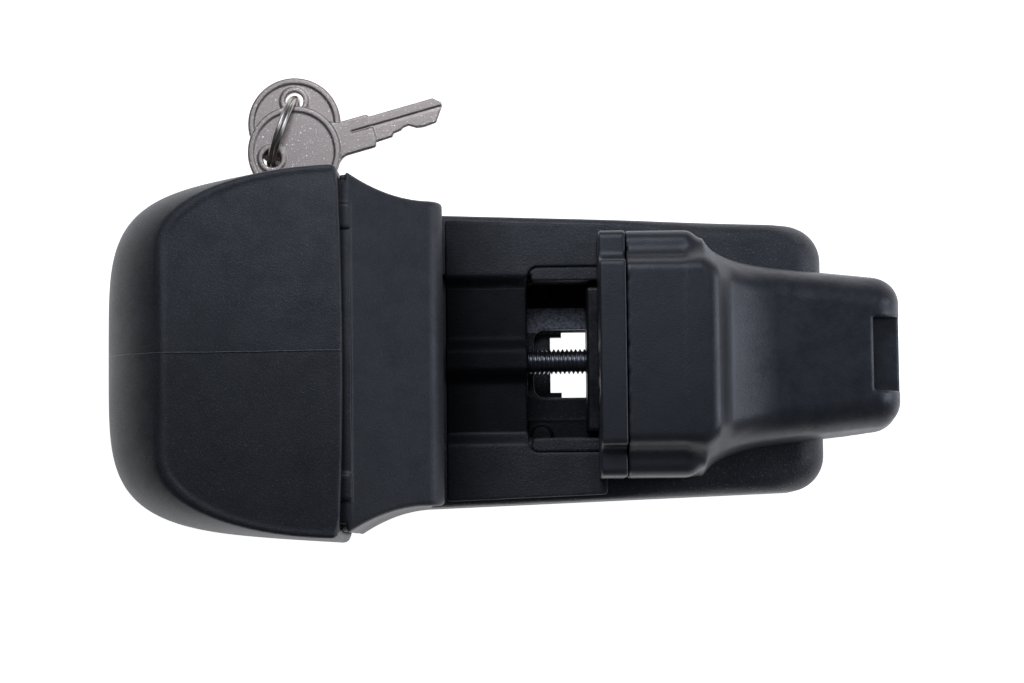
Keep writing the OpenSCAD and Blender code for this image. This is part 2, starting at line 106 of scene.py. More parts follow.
def surface(form, low, high, step):
    """Points and quads of the zero surface of form(x, y, z) in mm, one point per grid cell that it passes."""
    axes = [np.arange(low[i] - 1.5 * step, high[i] + 2 * step, step) for i in range(3)]
    x, y, z = np.meshgrid(*axes, indexing="ij", sparse=True)
    value = np.broadcast_to(form(x, y, z), [len(a) for a in axes]).astype(np.float32)
    for axis in range(3):
        for end in (0, -1):
            np.moveaxis(value, axis, 0)[end] = step
    cells = np.array(value.shape) - 1
    total = int(np.prod(cells))
    summed, count, quads = np.zeros((3, total)), np.zeros(total), []
    for axis in range(3):
        at, t, rising = edge_cells(value, axis)
        u, v = [(1, 2), (2, 0), (0, 1)][axis]
        point = at.astype(float)
        point[:, axis] += t
        ids = []
        for du, dv in ((0, 0), (-1, 0), (-1, -1), (0, -1)):
            cell = at.copy()
            cell[:, u] += du
            cell[:, v] += dv
            flat = np.ravel_multi_index(cell.T, cells, mode="clip")
            ids.append(flat)
            count += np.bincount(flat, minlength=total)
            for k in range(3):
                summed[k] += np.bincount(flat, point[:, k], total)
        quad = np.stack(ids, 1)
        quad[~rising] = quad[~rising, ::-1]
        quads.append(quad)
    used = np.flatnonzero(count)
    index = np.full(total, -1)
    index[used] = np.arange(len(used))
    points = (summed[:, used] / count[used]).T
    origin = np.array([a[0] for a in axes])
    return (origin + points * step) * MM, index[np.concatenate(quads)]


def mesh_object(name, points, faces, smooth=True):
    """A mesh object from arrays of points in metres and of quads or triangles."""
    mesh = bpy.data.meshes.new(name)
    faces = np.asarray(faces)
    mesh.vertices.add(len(points))
    mesh.vertices.foreach_set("co", np.asarray(points, np.float32).ravel())
    mesh.loops.add(faces.size)
    mesh.loops.foreach_set("vertex_index", faces.astype(np.int32).ravel())
    mesh.polygons.add(len(faces))
    mesh.polygons.foreach_set("loop_start", np.arange(0, faces.size, faces.shape[1], dtype=np.int32))
    mesh.polygons.foreach_set("use_smooth", np.full(len(faces), smooth))
    mesh.update(calc_edges=True)
    mesh.validate()
    made = bpy.data.objects.new(name, mesh)
    bpy.context.scene.collection.objects.link(made)
    return made


def solid(name, form, low, high, step, body, nodes, material):
    """A finished piece: the form's mesh, riding its body in place of its CAD nodes."""
    piece = mesh_object(name, *surface(form, low, high, step))
    return finish_piece(piece, body, nodes, material)


def finish_piece(piece, body, nodes, material):
    piece.data.materials.append(material)
    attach(piece, body)
    if nodes:
        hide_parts(*nodes)
    return piece


# ---------------------------------------------------------------- materials
def node_material(name, base, rough, **sockets):
    """A Principled material with constants on its own sockets; returns it, its node tree and its shader."""
    material = bpy.data.materials.new(name)
    material.use_nodes = True
    tree = material.node_tree
    shader = tree.nodes["Principled BSDF"]
    shader.inputs["Base Color"].default_value = (*base, 1)
    shader.inputs["Roughness"].default_value = rough
    for key, value in sockets.items():
        shader.inputs[key.replace("_", " ")].default_value = value
    return material, tree, shader


def add(tree, kind, links=(), **values):
    """A node of that kind, with its settings, its input values by index or name, and its input links."""
    made = tree.nodes.new(kind)
    for key, value in values.items():
        if hasattr(made, key):
            setattr(made, key, value)
        else:
            made.inputs[key].default_value = value
    for socket, source in links:
        tree.links.new(source, made.inputs[socket])
    return made


def coordinates(tree, scale):
    where = add(tree, "ShaderNodeTexCoord")
    return add(tree, "ShaderNodeMapping", [("Vector", where.outputs["Object"])], Scale=scale)


def noise(tree, where, scale, detail=3.0, rough=0.6):
    made = add(tree, "ShaderNodeTexNoise", [("Vector", where)])
    made.inputs["Scale"].default_value = scale
    made.inputs["Detail"].default_value = detail
    made.inputs["Roughness"].default_value = rough
    return made.outputs["Fac"]


def ramp(tree, source, stops):
    made = add(tree, "ShaderNodeValToRGB", [("Fac", source)])
    elements = made.color_ramp.elements
    while len(elements) < len(stops):
        elements.new(0.5)
    for element, (at, value) in zip(elements, stops):
        element.position = at
        colour = value if isinstance(value, tuple) else (value, value, value)
        element.color = (*colour, 1)
    return made.outputs["Color"]


def mixed(tree, factor, a, b):
    """Colour a where factor is 0 and b where it is 1; each is a colour or another node's output."""
    made = tree.nodes.new("ShaderNodeMix")
    made.data_type = "RGBA"
    tree.links.new(factor, made.inputs["Factor"])
    for key, value in (("A", a), ("B", b)):
        if isinstance(value, tuple):
            made.inputs[key].default_value = (*value, 1)
        else:
            tree.links.new(value, made.inputs[key])
    return made.outputs["Result"]


def math_node(tree, operation, a, b):
    """The result of a Math node on two values, each a number or another node's output."""
    made = tree.nodes.new("ShaderNodeMath")
    made.operation = operation
    for i, value in enumerate((a, b)):
        if isinstance(value, (int, float)):
            made.inputs[i].default_value = value
        else:
            tree.links.new(value, made.inputs[i])
    return made.outputs[0]


# A painted shade black, for recesses and spots that lie in shade.
PAINTED_SHADE_BLACK = (0.0045, 0.0047, 0.0055)
# A paler grey, painted light on a lit ledge in the shaded window.
PAINTED_LIGHT_GREY = (0.20, 0.21, 0.24)


def moulded(name, dark, light, rough, grain, grain_depth, sparkle, smudge, stain=0.25,
            stain_from=None, shade_box=None, shade_fade=None):
    """Moulded black plastic: fine grain, pale specks, soft smudges, dull stains and a few scuffs.

    The stain span gives two values of X, in metres, between which the stains come in. The shade span gives
    two between which a painted shade, a dull black with less shine, clears to the full tone. The shade box,
    as in the box mask below, gives a box of painted shade, black with less shine; if the box leaves its
    middle out, a painted pool of light gives the low ledge there a paler tone."""
    material, tree, shader = node_material(name, dark, rough)
    where = coordinates(tree, (1, 1, 1)).outputs["Vector"]
    fine = noise(tree, where, grain, 4, 0.65)
    speck = ramp(tree, noise(tree, where, grain * 1.7, 1, 0.5), [(0.64, 0.0), (0.76, 1.0)])
    patch = noise(tree, where, 55, 5, 0.6)
    blot = ramp(tree, noise(tree, where, 170, 6, 0.7), [(0.42, 0.0), (0.66, 1.0)])
    if stain_from:
        blot = math_node(tree, "MULTIPLY", blot, along_x(tree, where, stain_from, 0.25))
    stretched = coordinates(tree, (1, 7, 1)).outputs["Vector"]
    scuff = ramp(tree, noise(tree, stretched, 190, 8, 0.75), [(0.66, 0.0), (0.78, 1.0)])
    tone = math_node(tree, "ADD", math_node(tree, "MULTIPLY", speck, sparkle),
                     math_node(tree, "MULTIPLY", scuff, 0.12))
    tone = math_node(tree, "ADD", tone, math_node(tree, "MULTIPLY", patch, smudge))
    # Painted shade: between two values of X the tone and the shine climb from a dull black, where a tall part
    # next to it shades the surface.
    clear = along_x(tree, where, shade_fade, 0.35) if shade_fade else 1.0
    tone = math_node(tree, "MULTIPLY", tone, clear)
    colour = mixed(tree, tone, dark, light)
    shine = math_node(tree, "SUBTRACT", 0.5, math_node(tree, "MULTIPLY", blot, 0.5 * stain))
    shine = math_node(tree, "MULTIPLY", shine, clear)
    if shade_fade:
        colour = mixed(tree, clear, PAINTED_SHADE_BLACK, colour)
    # Painted shade in the recess: inside the box the colour goes to black and the shine drops.
    if shade_box:
        inside = shade_box_mask(tree, where, *shade_box)
        dimmed = math_node(tree, "SUBTRACT", 1.0, math_node(tree, "MULTIPLY", inside, 0.6))
        shine = math_node(tree, "MULTIPLY", shine, dimmed)
        # Painted light: a paler grey on the lit low ledge on the key side.
        inner_y = shade_box[2]
        if inner_y > 0:
            colour = mixed(tree, painted_light_mask(tree, where, shade_box), colour, PAINTED_LIGHT_GREY)
        colour = mixed(tree, inside, colour, PAINTED_SHADE_BLACK)
    tree.links.new(colour, shader.inputs["Base Color"])
    tree.links.new(shine, shader.inputs["Specular IOR Level"])
    spread = math_node(tree, "MULTIPLY", patch, 0.16)
    total = math_node(tree, "ADD", spread, math_node(tree, "MULTIPLY", fine, 0.12))
    tree.links.new(math_node(tree, "ADD", total, rough - 0.14), shader.inputs["Roughness"])
    bump = add(tree, "ShaderNodeBump", [("Height", fine)])
    bump.inputs["Strength"].default_value = 1.0
    bump.inputs["Distance"].default_value = grain_depth
    tree.links.new(bump.outputs["Normal"], shader.inputs["Normal"])
    return material


def along_x(tree, where, ends, least):
    """A value that climbs from least to 1 between two values of X, in metres."""
    split = add(tree, "ShaderNodeSeparateXYZ", [("Vector", where)])
    zone = add(tree, "ShaderNodeMapRange", [("Value", split.outputs["X"])])
    zone.inputs["From Min"].default_value, zone.inputs["From Max"].default_value = ends
    zone.inputs["To Min"].default_value = least
    return zone.outputs["Result"]


def shade_box_mask(tree, where, middle_x, half_x, inner_y, half_y, top_z):
    """Where the painted shade goes: 1 inside a box that is open at the bottom, but 0 within inner_y of its
    middle line, all in metres.
    """
    fade = 0.0003
    split = add(tree, "ShaderNodeSeparateXYZ", [("Vector", where)])
    off_middle = math_node(tree, "ABSOLUTE", split.outputs["Y"], 0)
    mask = math_node(tree, "GREATER_THAN", off_middle, inner_y)
    along = math_node(tree, "ABSOLUTE", math_node(tree, "SUBTRACT", split.outputs["X"], middle_x), 0)
    for value, limit in ((along, half_x), (off_middle, half_y), (split.outputs["Z"], top_z)):
        shade_fade = add(tree, "ShaderNodeMapRange", [("Value", value)])
        shade_fade.inputs["From Min"].default_value = limit
        shade_fade.inputs["From Max"].default_value = limit - fade
        mask = math_node(tree, "MULTIPLY", shade_fade.outputs["Result"], mask)
    return mask


def painted_light_mask(tree, where, shade_box):
    """Where a painted pool of light goes: about 1 on the low ledge on the key side of the shaded box's
    middle, and thinned out by grain.
    """
    middle_x, half_x, inner_y, _, top_z = shade_box
    split = add(tree, "ShaderNodeSeparateXYZ", [("Vector", where)])
    grain = ramp(tree, noise(tree, where, 1500, 2, 0.6), [(0.36, 0.25), (0.60, 1.0)])
    mask = math_node(tree, "MULTIPLY", grain, math_node(tree, "LESS_THAN", split.outputs["Z"], 0.4 * top_z))
    across = (split.outputs["Y"], 0.55 * inner_y, inner_y)
    along = (split.outputs["X"], middle_x - half_x, middle_x)
    for value, low, high in (across, along):
        mask = math_node(tree, "MULTIPLY", mask, math_node(tree, "GREATER_THAN", value, low))
        mask = math_node(tree, "MULTIPLY", mask, math_node(tree, "LESS_THAN", value, high))
    return mask


def metal(name, base, rough, grain, grain_depth, specks=0.0, stretch=(1, 1, 1)):
    """Plated or oxidised metal with fine grain and uneven polish."""
    material, tree, shader = node_material(name, base, rough, Metallic=1.0)
    where = coordinates(tree, stretch).outputs["Vector"]
    fine = noise(tree, where, grain, 4, 0.6)
    patch = noise(tree, where, 220, 4, 0.6)
    total = math_node(tree, "ADD", math_node(tree, "MULTIPLY", patch, 0.22),
                      math_node(tree, "MULTIPLY", fine, 0.16))
    tree.links.new(math_node(tree, "ADD", total, rough - 0.18), shader.inputs["Roughness"])
    shade = ramp(tree, patch, [(0.3, tuple(0.82 * c for c in base)), (0.7, base)])
    if specks:
        dot = ramp(tree, noise(tree, where, grain * 0.8, 1, 0.5), [(0.66, 0.0), (0.74, 1.0)])
        shade = mixed(tree, math_node(tree, "MULTIPLY", dot, specks), shade, (0.95, 0.94, 0.93))
    tree.links.new(shade, shader.inputs["Base Color"])
    bump = add(tree, "ShaderNodeBump", [("Height", fine)])
    bump.inputs["Strength"].default_value = 1.0
    bump.inputs["Distance"].default_value = grain_depth
    tree.links.new(bump.outputs["Normal"], shader.inputs["Normal"])
    return material


CAP_PLASTIC = moulded("cap_plastic", (0.0150, 0.0160, 0.0190), (0.14, 0.15, 0.17), 0.50, 2500, 0.00007,
                      0.55, 0.03)
# The lip's edge by the cap's gap gets a strip of painted shade.
LIP_PLASTIC = moulded("lip_plastic", (0.0160, 0.0170, 0.0200), (0.13, 0.14, 0.16), 0.49, 2400, 0.00006,
                      0.30, 0.06, shade_fade=(-0.0352, -0.0343))
JAW_PLASTIC = moulded("jaw_plastic", (0.0165, 0.0178, 0.0215), (0.11, 0.118, 0.138), 0.42, 2300, 0.00005,
                      0.07, 0.07, 0.6, (0.052, 0.064))
# The base's window gets painted shade inside, and painted light on its ledge on the key side.
BASE_PLASTIC = moulded("base_plastic", (0.0170, 0.0180, 0.0210), (0.19, 0.20, 0.22), 0.50, 1800, 0.00014,
                       0.60, 0.05, shade_box=(0.0304, 0.0262, 0.0131, 0.0186, 0.0195))
# The mat gets painted shade in its channel and towards the lip.
RUBBER = moulded("rubber", (0.0175, 0.0185, 0.0215), (0.19, 0.20, 0.22), 0.50, 1900, 0.00013,
                 0.55, 0.05, shade_box=(-0.0045, 0.0105, -1.0, 0.0165, 0.0216), shade_fade=(-0.0125, 0.0035))
SLIDER_METAL = moulded("slider_metal", (0.006, 0.006, 0.007), (0.075, 0.078, 0.088), 0.40, 1700, 0.00006,
                       0.12, 0.05, 0.6)
BLACK_STEEL = metal("black_steel", (0.34, 0.34, 0.36), 0.30, 1800, 0.00001)
ZINC_STEEL = metal("zinc_steel", (0.56, 0.57, 0.60), 0.38, 900, 0.00001)
NICKEL = metal("nickel", (0.35, 0.30, 0.265), 0.45, 2800, 0.00005, 0.6)
RING_STEEL = metal("ring_steel", (0.50, 0.46, 0.42), 0.30, 900, 0.00001)
BRASS = metal("brass", (0.66, 0.50, 0.22), 0.38, 900, 0.00001)
# The moulding line's pale colour is a painted highlight on its raised edge.
FLASH_PAINTED_HIGHLIGHT, _, _ = node_material("moulding_line", (0.10, 0.105, 0.12), 0.45)


# ---------------------------------------------------------------- end cap
def face_radius(a):
    """Distance from the middle of the cap's open edge to its flat face's outline, at angle a."""
    c, s = np.cos(a), np.abs(np.sin(a))
    p = (c / FACE_A) ** 2 + (s / FACE_B) ** 2
    q = -2 * FACE_FLAT * s / FACE_B**2
    k = (FACE_FLAT / FACE_B) ** 2 - 1
    bent = (-q + np.sqrt(np.maximum(q * q - 4 * p * k, 0))) / (2 * p)
    return np.where(FACE_A * s <= FACE_FLAT * c, FACE_A / np.maximum(c, 1e-6), bent)


def belly_outline():
    """The widest outline in polar form: angles from its long axis and distances."""
    reach = BELLY_A * (1 - np.linspace(1, 0, 400) ** 3)
    half = (BELLY_B - BELLY_TAPER * reach) * (1 - (reach / BELLY_A) ** BELLY_N) ** (1 / BELLY_N)
    return np.arctan2(half, reach)[::-1], np.hypot(half, reach)[::-1]


BELLY_ANGLES, BELLY_RADII = belly_outline()


def belly_radius(a):
    """Distance from the middle of the cap's open edge to its widest outline, at angle a."""
    return np.interp(np.abs(a), BELLY_ANGLES, BELLY_RADII)


def cap_form(x, y, z, d=0.0, open_x=CAP_X, edge=0.5):
    """The cap's outside moved in by d, open at open_x; its flat face is crowned along the middle."""
    reach = np.minimum(x, CAP_X) - CAP_X
    angle = np.arctan2(y, np.maximum(-reach, 1e-6))
    radius = np.hypot(reach, y)
    face, belly = face_radius(angle), belly_radius(angle)
    drop = np.clip((CAP_H - d - z) / (CAP_H - BELLY_Z), 0, 1)
    steep = np.sqrt(1 - (math.cos(SHOULDER) * (1 - drop)) ** 2)
    grown = (steep - math.sin(SHOULDER)) / (1 - math.sin(SHOULDER))
    wide = face + (belly - face) * grown
    low = np.clip((BELLY_LOW - z) / (BELLY_LOW - FOOT_Z), 0, 1)
    tuck = 0.6 * low + FOOT_INSET * (1 - np.sqrt(1 - low**2 * 0.98))
    side = radius - wide + d + tuck
    crown = CAP_H - d - 1.0 * (np.abs(y) / 40) ** 1.3 - FACE_SUNK * smooth_step(face - radius, 0.7, 1.3)
    form = both(side, z - crown, edge)
    form = both(form, FOOT_Z + d - z, 1.5)
    return both(form, x - open_x, 0.4 + 1.2 * smooth_step(np.abs(y), 35, 40) if edge else 0)


def pocket_form(x, y, z, low, high, r):
    """The tall round-ended recess that the key stands in."""
    tall = np.clip(z, LOCK_Z, POCKET_TOP)
    return both(np.hypot(x - LOCK_X, z - tall) - r, span(y, low, high), 0.3)


def end_cap_form(x, y, z):
    rim = CAP_X + 1.1 * (1 - np.clip(np.abs(y) / 41, 0, 1) ** 2) * smooth_step(z, 30, 57)
    shell = cut(cap_form(x, y, z, 0, rim), cap_form(x, y, z, CAP_WALL, 40, 0))
    boss = both(pocket_form(x, y, z, POCKET_Y - 3, BOSS_END, BOSS_R), x - CAP_X)
    shell = either(shell, boss, 0.5)
    shell = cut(shell, pocket_form(x, y, z, POCKET_Y, 60, POCKET_R), 0.5)
    return cut(shell, both(np.hypot(x - LOCK_X, z - LOCK_Z) - BARREL_R, 20 - y))


def make_cap():
    solid("end_cap_shell", end_cap_form, (-90, -43, 0), (-34, 43, 58.5), 0.5,
          "cap", ["end_cap"], CAP_PLASTIC)


def flash_line():
    """The thin uneven line left by the mould along the middle of the cap."""
    draw = np.random.default_rng(7)
    xs = np.concatenate([np.linspace(-35.6, -74.0, 160), np.linspace(-74.4, -87.9, 60)])
    zs = np.array([cap_height(x) for x in xs])
    points, faces = [], []
    wide = 0.10 + 0.05 * draw.random(len(xs))
    tall = 0.05 + 0.10 * draw.random(len(xs))
    sway = np.cumsum(draw.normal(0, 0.012, len(xs)))
    sway -= np.linspace(0, sway[-1], len(xs))
    slope = np.gradient(zs, np.arange(len(xs))), np.gradient(xs, np.arange(len(xs)))
    for i, (x, z) in enumerate(zip(xs, zs)):
        out = np.array([slope[0][i], 0, -slope[1][i]])
        out /= np.linalg.norm(out)
        foot = np.array([x, sway[i], z])
        points += [foot + (0, -wide[i], 0) - 0.12 * out, foot + tall[i] * out,
                   foot + (0, wide[i], 0) - 0.12 * out, foot - 0.25 * out]
    n = len(xs)
    for i in range(n - 1):
        for k in range(4):
            a, b = 4 * i + k, 4 * i + (k + 1) % 4
            faces.append([a, a + 4, b + 4, b])
    faces += [[0, 1, 2, 3], [4 * n - 1, 4 * n - 2, 4 * n - 3, 4 * n - 4]]
    piece = mesh_object("cap_moulding_line", np.array(points) * MM, faces)
    # Its pale colour is a painted highlight.
    finish_piece(piece, "cap", [], FLASH_PAINTED_HIGHLIGHT)


def cap_height(x):
    """Height of the cap's outside over its middle, at x."""
    reach = CAP_X - x
    if reach <= FACE_A:
        return CAP_H
    grown = (reach - FACE_A) / (BELLY_A - FACE_A)
    steep = min(1.0, math.sin(SHOULDER) + grown * (1 - math.sin(SHOULDER)))
    drop = 1 - math.sqrt(1 - steep**2) / math.cos(SHOULDER)
    return CAP_H - drop * (CAP_H - BELLY_Z)


# ---------------------------------------------------------------- fixed jaw
def flare_half(x):
    """Half width of the base and of the fixed jaw, which flares towards the cap."""
    along = np.clip((x - FLARE_END) / (BASE_END - BASE_CORNER - FLARE_END), 0, 2)
    straight = BASE_HALF + (BASE_FAR_HALF - BASE_HALF) * along
    return straight + FLARE * (np.maximum(FLARE_END - x, 0) / (FLARE_END - HEAD_X)) ** 2


def fixed_jaw_form(x, y, z):
    ay = np.abs(y)
    slope = (HEAD_H - LIP_H + 0.1) / (LIP_X - 2.2 - HEAD_X)
    top = (z - HEAD_H + slope * (x - HEAD_X)) / math.hypot(1, slope)
    roll = both(top, x - LIP_X, 3)
    roll = both(roll, np.minimum(x - LIP_X + 3, 41.4 - z), 0.3)
    jaw = both(roll, ay - flare_half(x), 0.9)
    jaw = both(both(jaw, HEAD_X - x, 0.5), BASE_H - z)
    inset = both(both(ay - flare_half(HEAD_X) + 0.5, z - 52.3, 2.5), span(x, HEAD_X - 1.4, HEAD_X + 1))
    jaw = either(jaw, both(inset, np.maximum(BASE_H - z, 30 - ay - 2 * (z - 40))))
    collar = cut(cap_form(x, y, z, CAP_WALL + 0.4, HEAD_X + 1, 0), both(ay - 33.5, z - 50.4))
    collar = both(both(collar, HEAD_X - 5.5 - x, 0.3), BASE_H + 1 - z)
    collar = cut(collar, both(20 - y, both(z - 49, x - HEAD_X)))
    tabs = block(x, np.abs(ay - 29.4), z, (HEAD_X - 2.5, -5, 51.8), (HEAD_X + 1, 2.8, 53.6), 0.2)
    jaw = either(either(jaw, collar), tabs)
    return cut(jaw, block(x, y, z, (-60, -18, 23), (-20.5, 18, 41)))


def make_fixed_jaw():
    solid("fixed_jaw_lip", fixed_jaw_form, (-41, -42, 20), (-13, 42, 55), 0.4,
          "base", ["fixed_jaw"], LIP_PLASTIC)


# ---------------------------------------------------------------- base housing
def base_form(x, y, z):
    ay = np.abs(y)
    roll = 1.2 + 2.5 * smooth_step(x, 20, 50) + 3.3 * smooth_step(x, 60, 68)
    plan = both(ay - flare_half(x), x - BASE_END, BASE_CORNER)
    body = both(plan, z - BASE_H, roll)
    body = both(both(body, -z, 0.8), HEAD_X - x, 0.4)
    rim = both(span(x, WINDOW_X + 0.3, PAD_END - 0.2), ay - RIM_HALF, 2.5)
    rim = both(rim, span(z, BASE_H - 2, BASE_H + 0.8), 0.3)
    body = either(body, rim)
    boss = block(x, y, z, (-62, -11.5, 4), (HEAD_X + 1, 11.5, 22), 0.5)
    wing = block(x, y, z, (-58, -33, 4.2), (HEAD_X + 1, 33, 6.7), 0.4)
    body = either(either(body, boss), wing)
    bore = np.hypot(y, z - SCREW_Z)
    body = cut(body, both(bore - 3.3, x - WINDOW_X - 1))
    body = cut(body, both(bore - 7.5, x + 50))
    body = cut(body, block(x, y, z, (-50, -8.2, 4.8), (-47.5, 8.2, 30)))
    body = cut(body, block(x, y, z, (-48.5, -5.5, 7.5), (-46.3, 5.5, 30)))
    ledge_top = FLOOR_Z - 0.33 * np.clip(ay - SLOT_HALF, 0, 5.2)
    window = both(both(span(x, WINDOW_X, WINDOW_X + WINDOW_LEN), ay - WINDOW_HALF, 1.6), ledge_top - z)
    body = cut(body, window, 0.25)
    pilot = np.hypot(np.abs(x - 30) - 22, ay - 16.8)
    body = either(body, both(pilot - 2.4, span(z, 4.8, 6.95)), 0)
    slot = both(both(span(x, 6.4, 52), ay - SLOT_HALF, 2.5), span(z, 2.4, 30))
    body = cut(body, slot, 0.4)
    body = cut(body, block(x, y, z, (6, -13.5, -1), (54, 13.5, 5)))
    body = cut(body, block(x, y, z, (2, -20, -1), (58, 20, 2.5)))
    body = either(body, block(x, y, z, (9.6, -6.7, 2.2), (10.3, 6.7, 2.85), 0.2))
    body = cut(body, block(x, y, z, (LIP_X - 4, -19.5, CHANNEL_Z), (WINDOW_X + 1, 19.5, 30)))
    screw = np.hypot(x + 27, ay - 24)
    body = cut(body, screw - 2.7)
    return cut(body, both(screw - 5, z - 5), 0.3)


def make_base():
    solid("base_housing_shell", base_form, (-63, -41, -0.5), (74, 41, 22.5), 0.5,
          "base", ["base_housing"], BASE_PLASTIC)


def deck_height(ay):
    """Top of the mat across its channel: flat sides, sloped shoulders and a rib over the screw's tunnel."""
    shoulder = (DECK_Z - 19) * smooth_step(ay, 16.4, 19.6)
    return 19 + shoulder + 2.3 * (1 - smooth_step(ay, 1.6, 5.6))


def deck_form(x, y, z):
    ay = np.abs(y)
    plan = both(ay - flare_half(x) + 1.2, span(x, LIP_X + 0.1, PAD_END), 0.8)
    top = (z - deck_height(ay)) * 0.85
    mat = both(both(plan, top, 0.35), BASE_H - z)
    channel = both(both(span(x, LIP_X + 0.1, WINDOW_X), ay - CHANNEL_HALF), both(top, CHANNEL_Z - z))
    mat = either(mat, channel)
    hole = both(both(WINDOW_X + 0.25 - x, ay - RIM_HALF - 0.02, 2.3), BASE_H - 4 - z)
    return cut(mat, hole, 0.05)


def make_deck():
    solid("deck_mat", deck_form, (-14, -34, 17.5), (23.2, 34, 22.4), 0.35,
          "base", ["deck_pad"], RUBBER)


def lip_pad_form(x, y, z):
    pad = block(x, y, z, (LIP_X - 2.9, -30, DECK_Z + 0.1), (LIP_X - 0.6, 30, 40.9), 0.4)
    ribs = np.hypot(x - LIP_X + 0.5, y - 5 * np.round(y / 5)) - 0.6
    return cut(pad, both(ribs, np.abs(y) - 27), 0.1)


# ---------------------------------------------------------------- moving jaw
def tongue_half(x, z):
    """Half width of the tongue, which spreads to meet the jaw's block and leans out towards its foot."""
    spread = np.exp(-np.abs(x - 44.0) / 5.0)
    return 16.3 + 0.10 * (80 - x) + 5.0 * spread + 0.14 * np.maximum(TONGUE_H - z, 0)


def moving_jaw_form(x, y, z):
    ay = np.abs(y)
    middle = both(both(ay - MID_HALF, x - 47.4, 5), z - JAW_H, 2.6)
    side = both(both(ay - SIDE_HALF, x - 43.2, 3.4), z - SIDE_H, 3.0)
    fall = np.clip((61 - x) / 14, 0, 1)
    top = TONGUE_H + 5.2 * fall**1.5
    steep = np.hypot(1, 7.8 / 14 * fall**0.5)
    plan = both(ay - tongue_half(x, z), x - TONGUE_END, 5.2)
    tongue = both(plan, (z - top) / steep, 6.0)
    tongue = both(tongue, 42.5 - x)
    jaw = either(either(middle, side, 3.6), tongue, 3.4)
    jaw = both(jaw, JAW_X + 0.10 + 0.08 * np.sin(0.9 * y) + 0.05 * np.sin(2.1 * y + 0.4 * z) - x, 0.3)
    jaw = both(jaw, JAW_Z + 0.22 * np.maximum(x - 76, 0) - z, 0.5)
    notch = np.maximum(np.maximum(81.8 - x, np.abs(y + 0.5) - 8.3), 30 - z)
    jaw = cut(jaw, notch, 0.15)
    return cut(jaw, block(x, y, z, (50, -13, 20), (77, 13, 28), 0.5))


def jaw_pad_form(x, y, z):
    ay = np.abs(y)
    section = either(both(ay - MID_HALF, z - JAW_H, 1.3), both(ay - SIDE_HALF, z - SIDE_H, 1.8), 2.0)
    pad = both(both(section, JAW_Z - z, 0.3), span(x, GRIP_X, GRIP_X + JAW_PAD_T), 0.45)
    ribs = np.hypot(x - GRIP_X + 0.3, y - 4 * np.round(y / 4)) - 0.5
    return cut(pad, both(ribs, both(ay - 18, z - 38)), 0.1)


def slider_form(x, y, z):
    ay = np.abs(y)
    form = block(x, y, z, (18.4, -16.5, 7.2), (43, 16.5, 22), 0.6)
    form = either(form, block(x, y, z, (20.6, -7.4, 4.7), (40.8, 7.4, 8), 0.2))
    form = cut(form, np.hypot(y, z - SCREW_Z) - 3.3)
    return cut(form, block(x, y, z, (20.6, -5.1, 7.8), (28.4, 5.1, 18.2)))


def make_jaw():
    solid("moving_jaw_body", moving_jaw_form, (26, -29, 21.5), (89, 29, 45), 0.4,
          "jaw", ["moving_jaw"], JAW_PLASTIC)
    solid("jaw_grip_plate", jaw_pad_form, (20.4, -28.5, 21.8), (27.2, 28.5, 44.6), 0.3,
          "jaw", ["jaw_pad"], JAW_PLASTIC)
    solid("slider_block", slider_form, (18, -17, 4.2), (43.5, 17, 22.5), 0.4,
          "jaw", ["jaw_slider"], SLIDER_METAL)
    solid("lip_grip_plate", lip_pad_form, (-17.2, -30.5, 21.6), (-13.9, 30.5, 41.4), 0.3,
          "base", ["fixed_jaw_pad"], RUBBER)


# ---------------------------------------------------------------- clamp screw
def make_screw():
    """The head, and a shank with a true helical thread of 1 mm pitch."""
    head_x, under = -57.6, -51.6

    def head_form(x, y, z):
        r = np.hypot(y, z - SCREW_Z)
        head = both(r - 5, span(x, head_x, under), 0.4)
        hexagon = np.maximum(np.abs(z - SCREW_Z), np.abs(z - SCREW_Z) / 2 + np.abs(y) * math.sqrt(0.75)) - 2.5
        return cut(head, both(hexagon, x - head_x - 3.2), 0.15)

    solid("screw_head", head_form, (-58, -5.5, 7.5), (-51.2, 5.5, 18.5), 0.2,
          "screw", ["clamp_screw"], BLACK_STEEL)
    around, per_turn = 28, 12
    start, end = under - 0.2, under + 100
    xs = np.arange(start, end, PITCH / per_turn)
    angle = np.linspace(0, 2 * math.pi, around, endpoint=False)
    grid_x, grid_a = np.meshgrid(xs, angle, indexing="ij")
    phase = (grid_x / PITCH - grid_a / (2 * math.pi)) % 1
    crest = np.clip(np.abs(phase - 0.5) * 2.6 - 0.18, 0, 1)
    threaded = smooth_step(grid_x, under + 14, under + 15) * (1 - smooth_step(grid_x, end - 1.5, end))
    radius = SCREW_R - 0.62 * (1 - crest) * threaded - 0.7 * smooth_step(grid_x, end - 1.2, end)
    rings = np.stack([grid_x, radius * np.cos(grid_a), SCREW_Z + radius * np.sin(grid_a)], -1)
    finish_piece(tube("screw_shank", rings), "screw", ["clamp_screw"], BLACK_STEEL)


